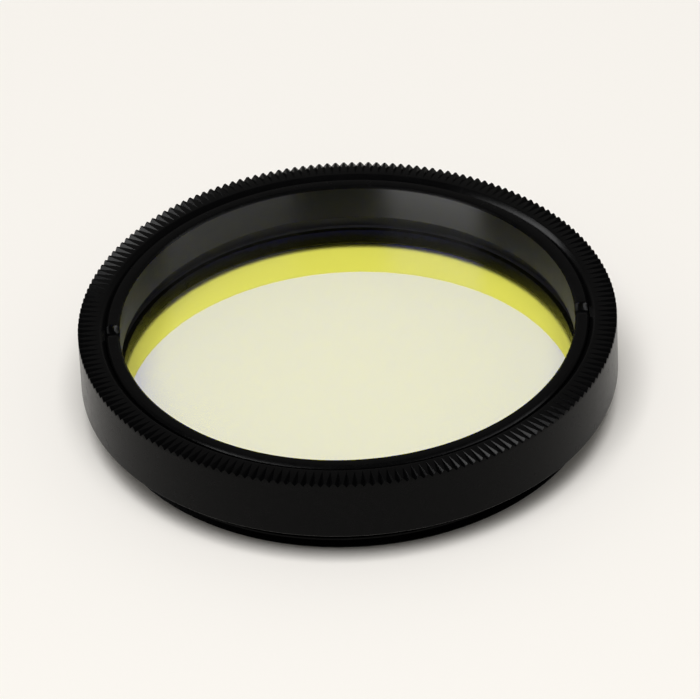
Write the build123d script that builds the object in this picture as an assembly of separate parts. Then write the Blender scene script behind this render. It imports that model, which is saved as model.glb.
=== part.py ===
"""A mounted optical bandpass filter of the 1.25-inch eyepiece size.

A turned black cell holds one coated glass disc. The disc lies on a ledge in the
cell and is held down by a ring that is screwed in from the knurled face. The
male thread below the cell's shoulder screws into an eyepiece barrel.

Frame: the origin is the centre of the flat end of the male thread, on which the
filter stands, and +Z runs along the optical axis towards the knurled face.
All sizes are in millimetres.
"""

from build123d import *
import os
from math import radians, tan

# Male thread, an M28.5 x 0.6 spigot drawn at its crest diameter
THREAD_DIAMETER = 28.5
THREAD_PITCH = 0.6
THREAD_ANGLE = 60.0
SPIGOT_LENGTH = 1.8
SPIGOT_CHAMFER = 0.2
SPIGOT_WALL = 0.7
RELIEF_WIDTH = 0.3
RELIEF_DEPTH = 0.4

# Cell, whose smooth side stands out from the thread's crest all round
SHOULDER_WIDTH = 1.25
BODY_HEIGHT = 3.85
BODY_EDGE_CHAMFER = 0.15
LEDGE_WIDTH = 0.5
APERTURE_CHAMFER = 0.5

# Knurl: V grooves cut slantwise across the edge between the rim and the side
TOOTH_COUNT = 200
KNURL_ANGLE = 80.0
KNURL_WIDTH = 1.15
KNURL_HEIGHT = 0.25

# Glass
GLASS_THICKNESS = 2.0
GLASS_EDGE_CHAMFER = 0.15
GLASS_TOP_DEPTH = 2.3
GLASS_STAND = 0.2

# Retaining ring
RING_WIDTH = 0.8
RING_RECESS = 0.05
RING_EDGE_CHAMFER = 0.15
NOTCH_WIDTH = 1.0
NOTCH_DEPTH = 0.6
NOTCH_AZIMUTH = 0.0

# Clearances, on the radius
GLASS_CLEARANCE = 0.05
RING_CLEARANCE = 0.03

# Levels along the optical axis
SHOULDER_Z = SPIGOT_LENGTH
TOP_Z = SHOULDER_Z + BODY_HEIGHT
GLASS_TOP_Z = TOP_Z - GLASS_TOP_DEPTH
THREAD_END_Z = GLASS_TOP_Z - GLASS_STAND
LEDGE_Z = GLASS_TOP_Z - GLASS_THICKNESS
RING_TOP_Z = TOP_Z - RING_RECESS

# Radii, worked out from the thread
CREST_RADIUS = THREAD_DIAMETER / 2
MINOR_RADIUS = CREST_RADIUS - 5 / 16 * THREAD_PITCH / tan(radians(THREAD_ANGLE / 2))
BODY_RADIUS = CREST_RADIUS + SHOULDER_WIDTH
POCKET_RADIUS = CREST_RADIUS - SPIGOT_WALL
APERTURE_RADIUS = POCKET_RADIUS - LEDGE_WIDTH
GLASS_RADIUS = POCKET_RADIUS - GLASS_CLEARANCE
RING_RADIUS = MINOR_RADIUS - RING_CLEARANCE
RING_BORE_RADIUS = RING_RADIUS - RING_WIDTH


def turned(section: Sketch, label: str) -> Part:
    """Revolve a half section, drawn as radius and height, about the optical axis."""
    body = revolve(Plane.XZ * section, Axis.Z, 360)
    body.label = label
    return body


def tooth_gap() -> Part:
    """Return one V groove, whose root runs straight from the rim to the side, under their edge."""
    rim_end = Vector(BODY_RADIUS - KNURL_WIDTH, 0, TOP_Z)
    side_end = Vector(BODY_RADIUS, 0, TOP_Z - KNURL_HEIGHT)
    run = side_end - rim_end
    open_way = run.rotate(Axis.Y, -90)
    half_width = run.length * tan(radians(KNURL_ANGLE / 2))
    corners = ((0, 0), (run.length, half_width), (run.length, -half_width))
    section = make_face(Polyline(*corners, close=True))
    return extrude(Plane(rim_end, x_dir=open_way, z_dir=run) * section, run.length)


def filter_cell() -> Part:
    """Return the cell: threaded spigot, shoulder, smooth side, knurled rim and stepped bore."""
    relief_radius = CREST_RADIUS - RELIEF_DEPTH
    lead_in = CREST_RADIUS - MINOR_RADIUS
    outline = Polyline(
        (APERTURE_RADIUS + APERTURE_CHAMFER, 0),
        (CREST_RADIUS - SPIGOT_CHAMFER, 0),
        (CREST_RADIUS, SPIGOT_CHAMFER),
        (CREST_RADIUS, SHOULDER_Z - RELIEF_WIDTH),
        (relief_radius, SHOULDER_Z - RELIEF_WIDTH),
        (relief_radius, SHOULDER_Z),
        (BODY_RADIUS, SHOULDER_Z),
        (BODY_RADIUS, TOP_Z),
        (CREST_RADIUS, TOP_Z),
        (MINOR_RADIUS, TOP_Z - lead_in),
        (MINOR_RADIUS, THREAD_END_Z),
        (POCKET_RADIUS, THREAD_END_Z),
        (POCKET_RADIUS, LEDGE_Z),
        (APERTURE_RADIUS, LEDGE_Z),
        (APERTURE_RADIUS, APERTURE_CHAMFER),
        close=True,
    )
    section = make_face(outline)
    lower_corner = section.vertices().group_by(Axis.X)[-1].sort_by(Axis.Y)[0]
    section = chamfer(lower_corner, BODY_EDGE_CHAMFER)
    cell = turned(section, "filter_cell")
    cell -= PolarLocations(0, TOOTH_COUNT) * tooth_gap()
    cell.label = "filter_cell"
    return cell


def filter_glass() -> Part:
    """Return the coated glass disc, with its ground edge chamfers."""
    disc = Cylinder(GLASS_RADIUS, GLASS_THICKNESS, align=(Align.CENTER, Align.CENTER, Align.MIN))
    disc = chamfer(disc.edges().filter_by(GeomType.CIRCLE), GLASS_EDGE_CHAMFER)
    disc = Pos(0, 0, LEDGE_Z) * disc
    disc.label = "filter_glass"
    return disc


def retaining_ring() -> Part:
    """Return the ring that holds the glass down, with its two spanner notches."""
    height = RING_TOP_Z - GLASS_TOP_Z
    wall = RING_RADIUS - RING_BORE_RADIUS
    section = Rectangle(wall, height, align=Align.MIN)
    section = chamfer(section.vertices().group_by(Axis.Y)[-1], RING_EDGE_CHAMFER)
    ring = turned(Pos(RING_BORE_RADIUS, GLASS_TOP_Z) * section, "retaining_ring")
    slot = Box(
        3 * RING_RADIUS,
        NOTCH_WIDTH,
        NOTCH_DEPTH,
        align=(Align.CENTER, Align.CENTER, Align.MAX),
    )
    ring -= Pos(0, 0, RING_TOP_Z) * Rot(0, 0, NOTCH_AZIMUTH) * slot
    ring.label = "retaining_ring"
    return ring


def main() -> None:
    """Build every piece and write it to its own file."""
    os.makedirs("parts", exist_ok=True)
    for piece in (filter_cell(), filter_glass(), retaining_ring()):
        export_step(piece, f"parts/{piece.label}.step")


main()
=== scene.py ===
"""Dress the mounted bandpass filter: a black knurled cell, a coated glass disc and a retaining ring.

The three pieces are turned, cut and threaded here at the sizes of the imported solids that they
stand for. Their sizes are in millimetres, and each finished mesh is brought to metres at the end.
The studio's lengths are in metres, apart from the camera's.
"""

import logging
import math
from dataclasses import dataclass
from enum import Enum
from typing import Protocol, Sequence

import bpy
from mathutils import Matrix, Vector


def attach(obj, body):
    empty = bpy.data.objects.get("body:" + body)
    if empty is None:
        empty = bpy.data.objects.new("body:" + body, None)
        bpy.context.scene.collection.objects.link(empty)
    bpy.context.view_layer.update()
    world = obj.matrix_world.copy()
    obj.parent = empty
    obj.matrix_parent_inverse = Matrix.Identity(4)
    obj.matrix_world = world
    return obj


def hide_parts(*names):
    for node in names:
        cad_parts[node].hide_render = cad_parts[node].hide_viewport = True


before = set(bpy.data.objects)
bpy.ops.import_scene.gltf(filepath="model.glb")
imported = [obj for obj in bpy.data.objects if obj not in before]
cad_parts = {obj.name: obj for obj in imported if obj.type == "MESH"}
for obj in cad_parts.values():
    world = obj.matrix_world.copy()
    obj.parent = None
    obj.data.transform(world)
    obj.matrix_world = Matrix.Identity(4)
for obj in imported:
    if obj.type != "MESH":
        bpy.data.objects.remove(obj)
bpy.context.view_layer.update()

MM = 0.001
MERGE_DISTANCE = 1e-5
FULL_TURN = 2 * math.pi
SMOOTH_ANGLE = 28.0

Corner = tuple[float, float]
Span = tuple[float, float]
Colour = tuple[float, float, float]
Settings = dict[str, float | tuple[float, ...]]

BACKDROP: Colour = (0.965, 0.94, 0.89)

log = logging.getLogger("bandpass_filter")


class RingFace(Enum):
    """The ring's finishes, by material slot."""

    LAND = 0
    BORE = 1


class GlassFace(Enum):
    """The disc's finishes, by material slot."""

    CLEAR = 0
    COATED = 1
    GROUND = 2


class Ray(Enum):
    """The kinds of ray that a shader can answer in different ways."""

    CAMERA = "Is Camera Ray"
    DIFFUSE = "Is Diffuse Ray"
    GLOSSY = "Is Glossy Ray"
    SHADOW = "Is Shadow Ray"
    TRANSMISSION = "Is Transmission Ray"


class Slope(Enum):
    """How a ramp runs from its one end to the other."""

    STRAIGHT = "LINEAR"
    SOFT = "SMOOTHSTEP"


@dataclass(frozen=True)
class FilterSizes:
    """The driving sizes of the filter, in millimetres, as on the solids."""

    thread_diameter: float = 28.5
    thread_pitch: float = 0.6
    thread_angle: float = 60.0
    spigot_length: float = 1.8
    spigot_chamfer: float = 0.2
    spigot_wall: float = 0.7
    relief_width: float = 0.3
    relief_depth: float = 0.4
    shoulder_width: float = 1.25
    body_height: float = 3.85
    body_edge_chamfer: float = 0.15
    ledge_width: float = 0.5
    aperture_chamfer: float = 0.5
    tooth_count: int = 200
    knurl_angle: float = 80.0
    knurl_width: float = 1.15
    knurl_height: float = 0.25
    glass_thickness: float = 2.0
    glass_edge_chamfer: float = 0.15
    glass_top_depth: float = 2.3
    glass_stand: float = 0.2
    glass_clearance: float = 0.05
    ring_width: float = 0.8
    ring_recess: float = 0.05
    ring_edge_chamfer: float = 0.15
    ring_clearance: float = 0.03
    notch_width: float = 1.0
    notch_depth: float = 0.6
    notch_azimuth: float = 0.0

    @property
    def crest_radius(self) -> float:
        """Radius of the male thread's crests."""
        return self.thread_diameter / 2

    @property
    def flank_slope(self) -> float:
        """How far a thread's flank runs along the axis for each millimetre of depth."""
        return math.tan(math.radians(self.thread_angle / 2))

    @property
    def thread_depth(self) -> float:
        """Depth of the female thread, from its crests to the nominal diameter."""
        return 5 / 16 * self.thread_pitch / self.flank_slope

    @property
    def minor_radius(self) -> float:
        """Radius of the female thread's crests, in which the ring stands."""
        return self.crest_radius - self.thread_depth

    @property
    def body_radius(self) -> float:
        """Radius of the smooth side."""
        return self.crest_radius + self.shoulder_width

    @property
    def pocket_radius(self) -> float:
        """Radius of the pocket that the glass lies in."""
        return self.crest_radius - self.spigot_wall

    @property
    def aperture_radius(self) -> float:
        """Radius of the opening below the glass."""
        return self.pocket_radius - self.ledge_width

    @property
    def glass_radius(self) -> float:
        """Radius of the glass disc."""
        return self.pocket_radius - self.glass_clearance

    @property
    def ring_radius(self) -> float:
        """Outer radius of the retaining ring."""
        return self.minor_radius - self.ring_clearance

    @property
    def ring_bore_radius(self) -> float:
        """Radius of the retaining ring's bore."""
        return self.ring_radius - self.ring_width

    @property
    def top(self) -> float:
        """Height of the rim."""
        return self.spigot_length + self.body_height

    @property
    def glass_top(self) -> float:
        """Height of the upper face of the glass."""
        return self.top - self.glass_top_depth

    @property
    def ledge(self) -> float:
        """Height of the ledge, and so of the lower face of the glass."""
        return self.glass_top - self.glass_thickness

    @property
    def ring_top(self) -> float:
        """Height of the retaining ring's upper face."""
        return self.top - self.ring_recess


@dataclass(frozen=True)
class Rounding:
    """How edges are broken: the width in millimetres, the faces across it and the least angle."""

    width: float
    steps: int = 2
    least_angle: float = 20.0


class Finish(Protocol):
    """A surface that can be put on a piece."""

    def material(self) -> bpy.types.Material:
        """Build the node material."""


class Bench:
    """The hand operations that the pieces are shaped with."""

    @staticmethod
    def clear() -> None:
        """Leave edit mode and deselect everything."""
        if bpy.context.mode != "OBJECT":
            bpy.ops.object.mode_set(mode="OBJECT")
        bpy.ops.object.select_all(action="DESELECT")

    @staticmethod
    def take(piece: bpy.types.Object) -> None:
        """Select one object alone and make it the active one.

        Args:
            piece: The object.
        """
        Bench.clear()
        piece.select_set(True)
        bpy.context.view_layer.objects.active = piece

    @staticmethod
    def edit(piece: bpy.types.Object) -> None:
        """Open one object in edit mode with all of its mesh selected.

        Args:
            piece: The object.
        """
        Bench.take(piece)
        bpy.ops.object.mode_set(mode="EDIT")
        bpy.ops.mesh.select_all(action="SELECT")

    @staticmethod
    def close() -> None:
        """Merge doubles, turn the normals outwards and leave edit mode."""
        bpy.ops.mesh.select_all(action="SELECT")
        bpy.ops.mesh.remove_doubles(threshold=MERGE_DISTANCE)
        bpy.ops.mesh.normals_make_consistent(inside=False)
        bpy.ops.object.mode_set(mode="OBJECT")

    @staticmethod
    def turn(name: str, profile: Sequence[Corner], segments: int) -> bpy.types.Object:
        """Turn a ring-shaped piece: a circle is extruded from corner to corner of its half section.

        Args:
            name: The new object's name.
            profile: The closed half section's corners as (radius, height), in order.
            segments: How many straight sides each circle has.

        Returns:
            The closed ring.
        """
        Bench.clear()
        radius, height = profile[0]
        bpy.ops.mesh.primitive_circle_add(vertices=segments, radius=radius, enter_editmode=True)
        piece = bpy.context.object
        piece.name = name
        bpy.ops.mesh.select_all(action="SELECT")
        bpy.ops.transform.translate(value=(0, 0, height))
        for next_radius, next_height in [*profile[1:], profile[0]]:
            bpy.ops.mesh.extrude_region_move(
                TRANSFORM_OT_translate={"value": (0, 0, next_height - height)}
            )
            ratio = next_radius / radius
            bpy.ops.transform.resize(value=(ratio, ratio, 1), center_override=(0, 0, next_height))
            radius, height = next_radius, next_height
        Bench.close()
        return piece

    @staticmethod
    def bevel(piece: bpy.types.Object, rounding: Rounding) -> None:
        """Break every edge that is sharper than the rounding's least angle.

        Args:
            piece: The object.
            rounding: How its edges are broken.
        """
        Bench.take(piece)
        bevel = piece.modifiers.new("edge rounding", "BEVEL")
        bevel.width = rounding.width
        bevel.segments = rounding.steps
        bevel.limit_method = "ANGLE"
        bevel.angle_limit = math.radians(rounding.least_angle)
        bpy.ops.object.modifier_apply(modifier=bevel.name)

    @staticmethod
    def cut(piece: bpy.types.Object, cutter: bpy.types.Object) -> None:
        """Cut a piece with a cutter, and delete the cutter.

        Args:
            piece: The object that is cut.
            cutter: The closed cutter.
        """
        Bench.take(piece)
        boolean = piece.modifiers.new("cut", "BOOLEAN")
        boolean.operation = "DIFFERENCE"
        boolean.solver = "EXACT"
        boolean.object = cutter
        bpy.ops.object.modifier_apply(modifier=boolean.name)
        Bench.take(cutter)
        bpy.ops.object.delete()

    @staticmethod
    def dress(piece: bpy.types.Object, finishes: Sequence[Finish]) -> None:
        """Give a piece one material slot for each of its finishes.

        Args:
            piece: The object.
            finishes: Its finishes, in the order of their slots.
        """
        piece.data.materials.clear()
        for finish in finishes:
            piece.data.materials.append(finish.material())

    @staticmethod
    def finish(piece: bpy.types.Object) -> None:
        """Bring a finished piece to metres, merge its doubles and shade it smooth.

        Args:
            piece: The object, modelled in millimetres about the origin.
        """
        Bench.edit(piece)
        bpy.ops.mesh.remove_doubles(threshold=MERGE_DISTANCE)
        bpy.ops.transform.resize(value=(MM, MM, MM), center_override=(0, 0, 0))
        bpy.ops.object.mode_set(mode="OBJECT")
        bpy.ops.object.shade_smooth_by_angle(angle=math.radians(SMOOTH_ANGLE))
        weights = piece.modifiers.new("even shading", "WEIGHTED_NORMAL")
        weights.keep_sharp = True
        bpy.ops.object.modifier_apply(modifier=weights.name)

    @staticmethod
    def join_frame(piece: bpy.types.Object, node: str, slot: str) -> None:
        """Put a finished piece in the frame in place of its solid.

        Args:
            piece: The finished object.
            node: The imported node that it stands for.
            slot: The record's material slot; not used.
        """
        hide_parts(node)
        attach(piece, "root")


class NodeSheet:
    """The node tree of a material or of the world, filled in node by node."""

    def __init__(self, holder: bpy.types.Material | bpy.types.World) -> None:
        """Open the tree of a material or of the world.

        Args:
            holder: The material or the world.
        """
        holder.use_nodes = True
        self.nodes = holder.node_tree.nodes
        self.links = holder.node_tree.links

    @staticmethod
    def set(node: bpy.types.Node, settings: Settings) -> None:
        """Set a node's own sockets, by name."""
        for socket, value in settings.items():
            node.inputs[socket].default_value = value

    def add(self, kind: str, settings: Settings | None = None) -> bpy.types.Node:
        """Add a node.

        Args:
            kind: The node's type.
            settings: What its sockets are set to, by name.

        Returns:
            The node.
        """
        node = self.nodes.new(kind)
        self.set(node, settings or {})
        return node

    def link(self, source: bpy.types.NodeSocket, node: bpy.types.Node, socket: str | int) -> None:
        """Link an output to a node's socket."""
        self.links.new(source, node.inputs[socket])

    def place(self) -> bpy.types.NodeSocket:
        """Return the point's place on its piece."""
        return self.add("ShaderNodeTexCoord").outputs["Object"]

    def noise(
        self, where: bpy.types.NodeSocket, size: float, detail: float
    ) -> bpy.types.NodeSocket:
        """Add a cloudy pattern.

        Args:
            where: The point that it is read at.
            size: How wide its clouds are, in millimetres.
            detail: How many finer layers lie on them.

        Returns:
            Its value, from 0 to 1.
        """
        clouds = self.add("ShaderNodeTexNoise", {"Scale": 1 / (size * MM), "Detail": detail})
        self.link(where, clouds, "Vector")
        return clouds.outputs["Fac"]

    def length(self, vector: bpy.types.NodeSocket) -> bpy.types.NodeSocket:
        """Measure a vector.

        Args:
            vector: The vector.

        Returns:
            Its length.
        """
        measure = self.add("ShaderNodeVectorMath")
        measure.operation = "LENGTH"
        self.link(vector, measure, 0)
        return measure.outputs["Value"]

    def ramp(
        self, value: bpy.types.NodeSocket, across: Span, result: Span, slope: Slope
    ) -> bpy.types.NodeSocket:
        """Lead one span of a value over to another, and hold it at both ends.

        Args:
            value: The value.
            across: The span of the value that the ramp lies over.
            result: What it gives at the two ends.
            slope: How it runs between them.

        Returns:
            The new value.
        """
        ends = {
            "From Min": across[0],
            "From Max": across[1],
            "To Min": result[0],
            "To Max": result[1],
        }
        ramp = self.add("ShaderNodeMapRange", ends)
        ramp.interpolation_type = slope.value
        self.link(value, ramp, "Value")
        return ramp.outputs["Result"]

    def relief(self, height: bpy.types.NodeSocket, depth: float, shader: bpy.types.Node) -> None:
        """Give a shader a fine relief.

        Args:
            height: The relief's pattern, from 0 to 1.
            depth: How deep it is, in millimetres.
            shader: The shader's node.
        """
        bump = self.add("ShaderNodeBump", {"Distance": depth * MM})
        self.link(height, bump, "Height")
        self.link(bump.outputs["Normal"], shader, "Normal")

    def blend(
        self,
        share: bpy.types.NodeSocket,
        first: bpy.types.NodeSocket,
        second: bpy.types.NodeSocket,
    ) -> bpy.types.NodeSocket:
        """Mix two shaders.

        Args:
            share: The second one's share.
            first: The first shader.
            second: The second shader.

        Returns:
            The mixed shader.
        """
        mix = self.add("ShaderNodeMixShader")
        for socket, source in enumerate((share, first, second)):
            self.link(source, mix, socket)
        return mix.outputs["Shader"]

    def by_ray(
        self, shown: bpy.types.NodeSocket, answers: Sequence[tuple[Ray, bpy.types.NodeSocket]]
    ) -> bpy.types.NodeSocket:
        """Show a shader, but answer some kinds of ray with another one.

        Args:
            shown: The shader that all other rays meet.
            answers: Each kind of ray, with the shader that it meets. The last one wins.

        Returns:
            The combined shader.
        """
        path = self.add("ShaderNodeLightPath")
        for ray, answer in answers:
            shown = self.blend(path.outputs[ray.value], shown, answer)
        return shown

    def show(self, shader: bpy.types.NodeSocket, output: str = "Material Output") -> None:
        """Link a shader to the surface of the tree's output."""
        self.link(shader, self.nodes[output], "Surface")


def opaque(colour: Colour) -> tuple[float, float, float, float]:
    """Return a colour with full opacity."""
    return (*colour, 1.0)


@dataclass(frozen=True)
class BlackAnodise:
    """Black anodised aluminium, turned: fine marks run round the axis under a dark gloss.

    Its faint bloom is a cloudy pattern that changes the colour and the roughness a little.
    Sizes are in millimetres.
    """

    name: str
    colour: Colour = (0.0012, 0.0012, 0.0013)
    bloom: Colour = (0.0024, 0.0024, 0.0026)
    bloom_size: float = 0.5
    bloom_detail: float = 6.0
    bloom_span: Span = (0.3, 0.7)
    roughness: Span = (0.23, 0.28)
    specular: float = 0.055
    anisotropy: float = 0.4
    anisotropy_turn: float = 0.25
    mark_spacing: float = 0.09
    mark_detail: float = 2.0
    mark_height: float = 0.0015

    def material(self) -> bpy.types.Material:
        """Build the node material.

        Returns:
            The material.
        """
        material = bpy.data.materials.new(self.name)
        sheet = NodeSheet(material)
        shader = sheet.nodes["Principled BSDF"]
        settings = {
            "Specular IOR Level": self.specular,
            "Anisotropic": self.anisotropy,
            "Anisotropic Rotation": self.anisotropy_turn,
        }
        sheet.set(shader, settings)
        where = sheet.place()

        clouds = sheet.noise(where, self.bloom_size, self.bloom_detail)
        tint = sheet.add("ShaderNodeMix")
        tint.data_type = "RGBA"
        sheet.set(tint, {"A": opaque(self.colour), "B": opaque(self.bloom)})
        sheet.link(clouds, tint, "Factor")
        sheet.link(tint.outputs["Result"], shader, "Base Color")
        roughness = sheet.ramp(clouds, self.bloom_span, self.roughness, Slope.STRAIGHT)
        sheet.link(roughness, shader, "Roughness")

        sheet.relief(self.turning_marks(sheet, where), self.mark_height, shader)
        return material

    def turning_marks(self, sheet: NodeSheet, where: bpy.types.NodeSocket) -> bpy.types.NodeSocket:
        """Make a height that varies only with radius and level, as a lathe tool leaves it.

        Args:
            sheet: The material's nodes.
            where: The point on the piece.

        Returns:
            The height, from 0 to 1.
        """
        apart = sheet.add("ShaderNodeSeparateXYZ")
        sheet.link(where, apart, "Vector")
        flat = sheet.add("ShaderNodeCombineXYZ")
        sheet.link(apart.outputs["X"], flat, "X")
        sheet.link(apart.outputs["Y"], flat, "Y")
        section = sheet.add("ShaderNodeCombineXYZ")
        sheet.link(sheet.length(flat.outputs["Vector"]), section, "X")
        sheet.link(apart.outputs["Z"], section, "Y")
        return sheet.noise(section.outputs["Vector"], self.mark_spacing, self.mark_detail)


@dataclass(frozen=True)
class GroundEdge:
    """The disc's ground edge, painted near black as painted shade for how it looks dark against the
    black pocket. Sizes in millimetres.
    """

    name: str
    # Painted shade: this near-black colour stands in for the black pocket's shade on the edge, not
    # for the frosted glass's own colour.
    colour: Colour = (0.010, 0.010, 0.012)
    roughness: float = 0.5
    specular: float = 0.2
    grit_size: float = 0.05
    grit_detail: float = 2.0
    grit_height: float = 0.004

    def material(self) -> bpy.types.Material:
        """Build the node material.

        Returns:
            The material.
        """
        material = bpy.data.materials.new(self.name)
        sheet = NodeSheet(material)
        shader = sheet.nodes["Principled BSDF"]
        settings = {
            "Base Color": opaque(self.colour),
            "Roughness": self.roughness,
            "Specular IOR Level": self.specular,
        }
        sheet.set(shader, settings)
        grit = sheet.noise(sheet.place(), self.grit_size, self.grit_detail)
        sheet.relief(grit, self.grit_height, shader)
        return material


def let_lamps_through(sheet: NodeSheet, solid: bpy.types.NodeSocket, tint: Colour) -> None:
    """Show a glass shader, but pass the light that falls on what lies below it straight through.

    Args:
        sheet: The material's nodes, whose output is linked here.
        solid: The shader that shows.
        tint: The colour that the light takes on the way.
    """
    through = sheet.add("ShaderNodeBsdfTransparent", {"Color": opaque(tint)}).outputs["BSDF"]
    sheet.show(sheet.by_ray(solid, [(Ray.DIFFUSE, through), (Ray.SHADOW, through)]))


@dataclass(frozen=True)
class ClearGlass:
    """The polished face of the disc that carries no coating."""

    name: str
    colour: Colour = (1.0, 1.0, 1.0)
    index: float = 1.5
    roughness: float = 0.0

    def material(self) -> bpy.types.Material:
        """Build the node material, which lets lamps through.

        Returns:
            The material.
        """
        material = bpy.data.materials.new(self.name)
        sheet = NodeSheet(material)
        shader = sheet.nodes["Principled BSDF"]
        settings = {
            "Base Color": opaque(self.colour),
            "Roughness": self.roughness,
            "IOR": self.index,
            "Transmission Weight": 1.0,
        }
        sheet.set(shader, settings)
        let_lamps_through(sheet, shader.outputs["BSDF"], self.colour)
        return material


@dataclass(frozen=True)
class BandpassCoating:
    """The thin-film side of the disc: it passes yellow and mirrors blue."""

    name: str
    passed: Colour = (0.955, 0.955, 0.345)
    mirrored: Colour = (0.02, 0.035, 0.60)
    index: float = 1.5
    roughness: float = 0.0

    def material(self) -> bpy.types.Material:
        """Build the node material, which lets lamps through in the passed colour.

        Returns:
            The material.
        """
        material = bpy.data.materials.new(self.name)
        sheet = NodeSheet(material)
        sheet.nodes.remove(sheet.nodes["Principled BSDF"])
        refraction = {
            "Color": opaque(self.passed),
            "Roughness": self.roughness,
            "IOR": self.index,
        }
        passing = sheet.add("ShaderNodeBsdfRefraction", refraction)
        reflection = {"Color": opaque(self.mirrored), "Roughness": self.roughness}
        mirror = sheet.add("ShaderNodeBsdfAnisotropic", reflection)
        film = sheet.add("ShaderNodeAddShader")
        sheet.link(passing.outputs["BSDF"], film, 0)
        sheet.link(mirror.outputs["BSDF"], film, 1)
        let_lamps_through(sheet, film.outputs["Shader"], self.passed)
        return material


@dataclass(frozen=True)
class PaleFloor:
    """The matt floor, which passes into the backdrop's colour between two distances, in metres."""

    name: str
    colour: Colour = (0.93, 0.905, 0.865)
    backdrop: Colour = BACKDROP
    roughness: float = 0.9
    specular: float = 0.1
    sweep: Span = (0.045, 0.20)

    def material(self) -> bpy.types.Material:
        """Build the node material.

        Returns:
            The material.
        """
        material = bpy.data.materials.new(self.name)
        sheet = NodeSheet(material)
        shader = sheet.nodes["Principled BSDF"]
        settings = {
            "Base Color": opaque(self.colour),
            "Roughness": self.roughness,
            "Specular IOR Level": self.specular,
        }
        sheet.set(shader, settings)
        glow = sheet.add("ShaderNodeEmission", {"Color": opaque(self.backdrop)})
        distance = sheet.length(sheet.place())
        away = sheet.ramp(distance, self.sweep, (0.0, 1.0), Slope.SOFT)
        sheet.show(sheet.blend(away, shader.outputs["BSDF"], glow.outputs["Emission"]))
        return material


@dataclass(frozen=True)
class Surroundings:
    """The world: a pale backdrop, which black metal sees dimmer, and dark behind the camera.

    The room's depth is the Y part of a direction, from -1 behind the camera to 1 before it.
    """

    name: str
    colour: Colour = BACKDROP
    fill: float = 0.30
    backdrop: float = 1.0
    dark_room: float = 0.06
    dim_backdrop: float = 0.28
    room_depth: Span = (-0.3, 0.5)

    def background(self, sheet: NodeSheet, strength: float) -> bpy.types.Node:
        """Add one background of the backdrop's colour.

        Args:
            sheet: The world's nodes.
            strength: How bright it is.

        Returns:
            The background's node.
        """
        settings = {"Color": opaque(self.colour), "Strength": strength}
        return sheet.add("ShaderNodeBackground", settings)

    def surround(self) -> None:
        """Build the world and put it round the scene."""
        world = bpy.data.worlds.new(self.name)
        bpy.context.scene.world = world
        sheet = NodeSheet(world)
        sheet.nodes.remove(sheet.nodes["Background"])

        apart = sheet.add("ShaderNodeSeparateXYZ")
        sheet.link(sheet.add("ShaderNodeTexCoord").outputs["Generated"], apart, "Vector")
        brightness = (self.dark_room, self.dim_backdrop)
        dimmed = sheet.ramp(apart.outputs["Y"], self.room_depth, brightness, Slope.SOFT)
        reflected = self.background(sheet, self.backdrop)
        sheet.link(dimmed, reflected, "Strength")

        lighting = self.background(sheet, self.fill).outputs[0]
        seen = self.background(sheet, self.backdrop).outputs[0]
        answers = [
            (Ray.GLOSSY, reflected.outputs[0]),
            (Ray.TRANSMISSION, seen),
            (Ray.CAMERA, seen),
        ]
        sheet.show(sheet.by_ray(lighting, answers), "World Output")


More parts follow.
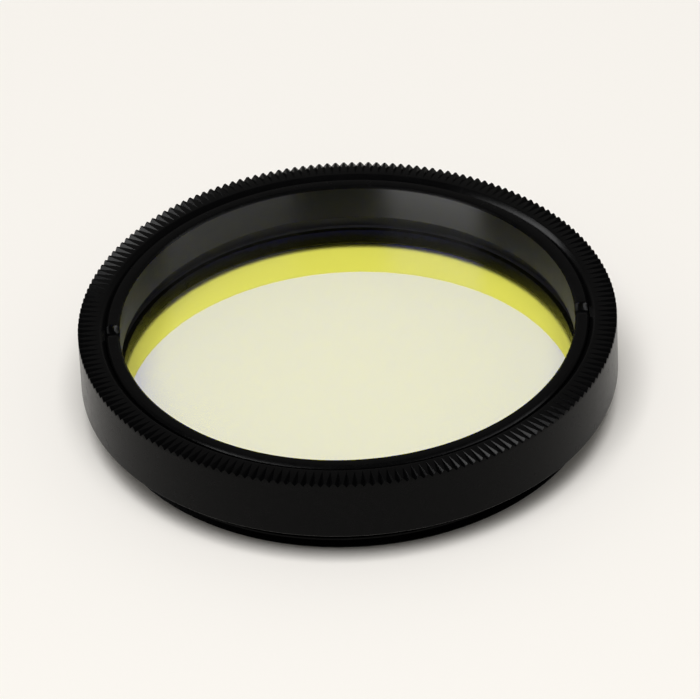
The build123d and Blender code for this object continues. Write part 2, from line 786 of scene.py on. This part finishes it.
@dataclass
class FilterCell:
    """The turned cell with its knurled rim and its male thread."""

    sizes: FilterSizes
    node: str = "filter_cell"
    slot: str = "cell"
    segments: int = 400
    edges: Rounding = Rounding(0.03)
    tooth_edges: Rounding = Rounding(0.015, steps=1, least_angle=32.0)
    tooth_margin: float = 0.1
    groove_overrun: float = 0.04
    thread_steps: int = 96
    spare_turns: int = 2
    black: BlackAnodise = BlackAnodise("cell black anodise")

    def profile(self) -> list[Corner]:
        """Draw the half section, with a corner on the side and on the rim just past the knurl.

        Returns:
            The corners, from the bottom of the bore round the outside.
        """
        sizes = self.sizes
        relief_radius = sizes.crest_radius - sizes.relief_depth
        return [
            (sizes.aperture_radius + sizes.aperture_chamfer, 0),
            (sizes.crest_radius - sizes.spigot_chamfer, 0),
            (sizes.crest_radius, sizes.spigot_chamfer),
            (sizes.crest_radius, sizes.spigot_length - sizes.relief_width),
            (relief_radius, sizes.spigot_length - sizes.relief_width),
            (relief_radius, sizes.spigot_length),
            (sizes.body_radius - sizes.body_edge_chamfer, sizes.spigot_length),
            (sizes.body_radius, sizes.spigot_length + sizes.body_edge_chamfer),
            (sizes.body_radius, sizes.top - sizes.knurl_height - self.tooth_margin),
            (sizes.body_radius, sizes.top),
            (sizes.body_radius - sizes.knurl_width - self.tooth_margin / 2, sizes.top),
            (sizes.crest_radius, sizes.top),
            (sizes.minor_radius, sizes.top - sizes.thread_depth),
            (sizes.minor_radius, sizes.glass_top - sizes.glass_stand),
            (sizes.pocket_radius, sizes.glass_top - sizes.glass_stand),
            (sizes.pocket_radius, sizes.ledge),
            (sizes.aperture_radius, sizes.ledge),
            (sizes.aperture_radius, sizes.aperture_chamfer),
        ]

    def tooth_gaps(self) -> bpy.types.Object:
        """Shape a V prism for the gap between two teeth, and repeat it round the rim.

        A prism's root runs straight from the rim to the side, under their edge. The prism starts
        as a three-sided cylinder and is widened until its V has the knurl's angle.

        Returns:
            One cutter with all the prisms.
        """
        sizes = self.sizes
        rim_end = Vector((sizes.body_radius - sizes.knurl_width, 0, sizes.top))
        side_end = Vector((sizes.body_radius, 0, sizes.top - sizes.knurl_height))
        run = side_end - rim_end
        opening = run.length
        half_width = opening * math.tan(math.radians(sizes.knurl_angle / 2))
        root_to_centre = opening * 2 / 3
        even_half_width = root_to_centre * math.sqrt(3) / 2
        Bench.clear()
        bpy.ops.mesh.primitive_cylinder_add(
            vertices=3, radius=root_to_centre, depth=3 * run.length, enter_editmode=True
        )
        cutter = bpy.context.object
        bpy.ops.mesh.select_all(action="SELECT")
        across_scale = half_width / even_half_width
        bpy.ops.transform.resize(value=(across_scale, 1, 1), center_override=(0, 0, 0))
        Bench.clear()
        outward = Vector((-run.z, 0, run.x)).normalized()
        place = Matrix.Translation(rim_end + run / 2 + outward * root_to_centre)
        axes = Matrix((Vector((0, 1, 0)), -outward, run.normalized())).transposed().to_4x4()
        cutter.data.transform(place @ axes)
        Bench.edit(cutter)
        bpy.ops.mesh.spin(
            steps=sizes.tooth_count,
            angle=FULL_TURN,
            dupli=True,
            center=(0, 0, 0),
            axis=(0, 0, 1),
        )
        Bench.close()
        return cutter

    def groove_section(self) -> list[Corner]:
        """Draw the section of the male thread's groove, one pitch below the spigot's end.

        The root is flat for an eighth of the pitch and lies a little deeper than the female
        thread's crests. The V opens a little past the male thread's own.

        Returns:
            The corners in the order of a new plane's: root and mouth below, root and mouth above.
        """
        sizes = self.sizes
        half_root = sizes.thread_pitch / 8 / 2
        depth = sizes.thread_depth + half_root / sizes.flank_slope / 2
        half_mouth = half_root + (depth + self.groove_overrun) * sizes.flank_slope
        root_radius = sizes.crest_radius - depth
        mouth_radius = sizes.crest_radius + self.groove_overrun
        start = -sizes.thread_pitch
        return [
            (root_radius, start - half_root),
            (mouth_radius, start - half_mouth),
            (root_radius, start + half_root),
            (mouth_radius, start + half_mouth),
        ]

    def thread_groove(self) -> bpy.types.Object:
        """Coil the groove's section up the spigot and close its two ends.

        Returns:
            The coiled cutter of the male thread.
        """
        sizes = self.sizes
        Bench.clear()
        bpy.ops.mesh.primitive_plane_add(size=1, enter_editmode=True)
        cutter = bpy.context.object
        bpy.ops.object.mode_set(mode="OBJECT")
        for vertex, (radius, height) in zip(cutter.data.vertices, self.groove_section()):
            vertex.co = (radius, 0, height)
        coil = cutter.modifiers.new("coil", "SCREW")
        coil.axis = "Z"
        coil.angle = FULL_TURN
        coil.screw_offset = sizes.thread_pitch
        coil.iterations = math.ceil(sizes.spigot_length / sizes.thread_pitch) + self.spare_turns
        coil.steps = self.thread_steps
        coil.render_steps = self.thread_steps
        bpy.ops.object.modifier_apply(modifier=coil.name)
        Bench.edit(cutter)
        bpy.ops.mesh.remove_doubles(threshold=MERGE_DISTANCE)
        bpy.ops.mesh.select_all(action="DESELECT")
        bpy.ops.mesh.select_non_manifold(extend=False)
        bpy.ops.mesh.fill_holes(sides=4)
        Bench.close()
        return cutter

    def build(self) -> bpy.types.Object:
        """Turn, thread and knurl the cell, dress it and put it on its body.

        Returns:
            The dressed cell.
        """
        piece = Bench.turn(self.node + "_dressed", self.profile(), self.segments)
        Bench.bevel(piece, self.edges)
        Bench.cut(piece, self.thread_groove())
        Bench.cut(piece, self.tooth_gaps())
        Bench.bevel(piece, self.tooth_edges)
        Bench.dress(piece, [self.black])
        Bench.finish(piece)
        Bench.join_frame(piece, self.node, self.slot)
        return piece


@dataclass
class RetainingRing:
    """The screwed ring that holds the glass down, with two spanner notches."""

    sizes: FilterSizes
    node: str = "retaining_ring"
    slot: str = "ring"
    segments: int = 400
    edges: Rounding = Rounding(0.02)
    upright_limit: float = 0.1
    land: BlackAnodise = BlackAnodise("ring black anodise")
    bore: BlackAnodise = BlackAnodise(
        "ring bore black anodise", roughness=(0.38, 0.41), specular=0.28, anisotropy=1.0
    )

    def profile(self) -> list[Corner]:
        """Draw the half section, with a chamfer at the upper two corners.

        Returns:
            The corners, from the bottom of the bore round the outside.
        """
        sizes = self.sizes
        cut = sizes.ring_edge_chamfer
        return [
            (sizes.ring_bore_radius, sizes.glass_top),
            (sizes.ring_radius, sizes.glass_top),
            (sizes.ring_radius, sizes.ring_top - cut),
            (sizes.ring_radius - cut, sizes.ring_top),
            (sizes.ring_bore_radius + cut, sizes.ring_top),
            (sizes.ring_bore_radius, sizes.ring_top - cut),
        ]

    def notch_cutter(self) -> bpy.types.Object:
        """Shape the bar that cuts both notches, which reaches past the ring and above it.

        Returns:
            The cutter.
        """
        sizes = self.sizes
        Bench.clear()
        bpy.ops.mesh.primitive_cube_add(size=1, enter_editmode=True)
        cutter = bpy.context.object
        bpy.ops.mesh.select_all(action="SELECT")
        bpy.ops.transform.resize(
            value=(3 * sizes.ring_radius, sizes.notch_width, 2 * sizes.notch_depth),
            center_override=(0, 0, 0),
        )
        Bench.clear()
        turned = Matrix.Rotation(math.radians(sizes.notch_azimuth), 4, "Z")
        cutter.data.transform(Matrix.Translation((0, 0, sizes.ring_top)) @ turned)
        return cutter

    def kind_of(self, face: bpy.types.MeshPolygon) -> RingFace:
        """Tell the bore's upright wall from the rest of the ring.

        Args:
            face: A face of the ring.

        Returns:
            The finish that it takes.
        """
        middle = (self.sizes.ring_radius + self.sizes.ring_bore_radius) / 2
        upright = abs(face.normal.z) < self.upright_limit
        inner = face.center.xy.length < middle
        return RingFace.BORE if upright and inner else RingFace.LAND

    def build(self) -> bpy.types.Object:
        """Turn and notch the ring, dress it and put it on its body.

        Returns:
            The dressed ring.
        """
        piece = Bench.turn(self.node + "_dressed", self.profile(), self.segments)
        Bench.cut(piece, self.notch_cutter())
        Bench.bevel(piece, self.edges)
        Bench.dress(piece, [self.land, self.bore])
        for face in piece.data.polygons:
            face.material_index = self.kind_of(face).value
        Bench.finish(piece)
        Bench.join_frame(piece, self.node, self.slot)
        return piece


@dataclass
class FilterGlass:
    """The polished disc with its coated lower face."""

    sizes: FilterSizes
    node: str = "filter_glass"
    slot: str = "glass"
    segments: int = 400
    chamfer_angle: float = 60.0
    level_limit: float = 0.99
    clear: ClearGlass = ClearGlass("clear glass")
    coating: BandpassCoating = BandpassCoating("bandpass coating")
    edge: GroundEdge = GroundEdge("ground glass edge painted shade")

    def kind_of(self, face: bpy.types.MeshPolygon) -> GlassFace:
        """Tell the two polished faces from the ground edge.

        Args:
            face: A face of the disc.

        Returns:
            The finish that it takes.
        """
        if abs(face.normal.z) < self.level_limit:
            return GlassFace.GROUND
        return GlassFace.CLEAR if face.normal.z > 0 else GlassFace.COATED

    def build(self) -> bpy.types.Object:
        """Make the disc, dress its faces and put it on its body.

        Returns:
            The dressed disc.
        """
        sizes = self.sizes
        Bench.clear()
        bpy.ops.mesh.primitive_cylinder_add(
            vertices=self.segments,
            radius=sizes.glass_radius,
            depth=sizes.glass_thickness,
            enter_editmode=True,
        )
        piece = bpy.context.object
        piece.name = self.node + "_dressed"
        bpy.ops.mesh.select_all(action="SELECT")
        middle = (sizes.glass_top + sizes.ledge) / 2
        bpy.ops.transform.translate(value=(0, 0, middle))
        Bench.clear()
        Bench.bevel(piece, Rounding(sizes.glass_edge_chamfer, 1, self.chamfer_angle))
        Bench.dress(piece, [self.clear, self.coating, self.edge])
        for face in piece.data.polygons:
            face.material_index = self.kind_of(face).value
        Bench.finish(piece)
        Bench.join_frame(piece, self.node, self.slot)
        return piece


@dataclass(frozen=True)
class Softbox:
    """A soft lamp, or a bright card that only shows as a reflection, facing the filter.

    Its azimuth is in degrees round from the camera's side, positive to the right, and its
    elevation in degrees above the floor. Its size is width and height in metres.
    """

    name: str
    azimuth: float
    elevation: float
    size: tuple[float, float]
    radiance: float

    def hang(self, distance: float, card_for: Sequence[bpy.types.Object] = ()) -> None:
        """Hang it in the scene.

        Args:
            distance: How far it is from the filter.
            card_for: The pieces that reflect it, where it is a card.
        """
        azimuth, elevation = math.radians(self.azimuth), math.radians(self.elevation)
        level = math.cos(elevation)
        way = Vector((math.sin(azimuth) * level, -math.cos(azimuth) * level, math.sin(elevation)))
        width, height = self.size
        lamp = bpy.data.lights.new(self.name, "AREA")
        lamp.shape = "RECTANGLE"
        lamp.size, lamp.size_y = width, height
        lamp.energy = self.radiance * math.pi * width * height
        holder = bpy.data.objects.new(self.name, lamp)
        bpy.context.collection.objects.link(holder)
        holder.location = way * distance
        holder.rotation_mode = "QUATERNION"
        holder.rotation_quaternion = way.to_track_quat("Z", "Y")
        holder.visible_camera = False
        holder.visible_transmission = False
        holder.visible_glossy = bool(card_for)
        if card_for:
            holder.visible_diffuse = False
            reflecting = bpy.data.collections.new(self.name + " is seen in")
            for piece in card_for:
                reflecting.objects.link(piece)
            holder.light_linking.receiver_collection = reflecting


@dataclass(frozen=True)
class Viewpoint:
    """The photograph's camera, in millimetres and degrees."""

    elevation: float = 36.8
    roll: float = -2.8
    distance: float = 418.0
    aim: tuple[float, float, float] = (0.08, 0.0, 3.4)
    lens: float = 373.0
    sensor: float = 36.0
    nearest: float = 10.0
    furthest: float = 10000.0

    def place(self) -> None:
        """Place the camera and look through it."""
        data = bpy.data.cameras.new("camera")
        data.lens = self.lens
        data.sensor_width = self.sensor
        data.clip_start, data.clip_end = self.nearest * MM, self.furthest * MM
        camera = bpy.data.objects.new("camera", data)
        bpy.context.collection.objects.link(camera)
        bpy.context.scene.camera = camera
        elevation = math.radians(self.elevation)
        back = Vector((0, -math.cos(elevation), math.sin(elevation)))
        aim = Vector(self.aim) * MM
        camera.location = aim + back * self.distance * MM
        camera.rotation_mode = "QUATERNION"
        roll = Matrix.Rotation(math.radians(self.roll), 4, "Z").to_quaternion()
        camera.rotation_quaternion = (-back).to_track_quat("-Z", "Y") @ roll


@dataclass
class Studio:
    """The pale floor, the soft light, the cards that the metal mirrors and the camera."""

    floor_size: float = 3.0
    lamp_distance: float = 0.9
    pale_floor: PaleFloor = PaleFloor("pale floor")
    surroundings: Surroundings = Surroundings("surroundings")
    overhead: Softbox = Softbox("overhead", -10, 72, (0.6, 0.6), 6.3)
    left_strip: Softbox = Softbox("left strip", -45, 20, (0.74, 0.50), 17.0)
    right_strip: Softbox = Softbox("right strip", 58, 20, (1.21, 0.50), 6.0)
    left_card: Softbox = Softbox("left card", -90, 27, (0.7, 0.32), 14.0)
    viewpoint: Viewpoint = Viewpoint()

    def lay_floor(self) -> None:
        """Lay the floor under the filter."""
        Bench.clear()
        bpy.ops.mesh.primitive_plane_add(size=self.floor_size)
        plane = bpy.context.object
        plane.name = "floor"
        Bench.dress(plane, [self.pale_floor])

    def build(self, cell: bpy.types.Object, ring: bpy.types.Object) -> None:
        """Set up the floor, the surroundings, the lamps and the camera.

        Args:
            cell: The dressed cell.
            ring: The dressed retaining ring.
        """
        self.lay_floor()
        self.surroundings.surround()
        self.overhead.hang(self.lamp_distance)
        self.left_strip.hang(self.lamp_distance, [ring])
        self.right_strip.hang(self.lamp_distance, [ring])
        self.left_card.hang(self.lamp_distance, [cell])
        self.viewpoint.place()
        bpy.context.scene.view_settings.view_transform = "Standard"


def main() -> None:
    """Build the dressed filter and its studio, and report each piece."""
    logging.basicConfig(level=logging.INFO, format="%(name)s: %(message)s")
    sizes = FilterSizes()
    cell = FilterCell(sizes).build()
    ring = RetainingRing(sizes).build()
    glass = FilterGlass(sizes).build()
    for piece in (cell, ring, glass):
        log.info("%s: %d faces", piece.name, len(piece.data.polygons))
    Studio().build(cell, ring)


if __name__ == "__main__":
    main()
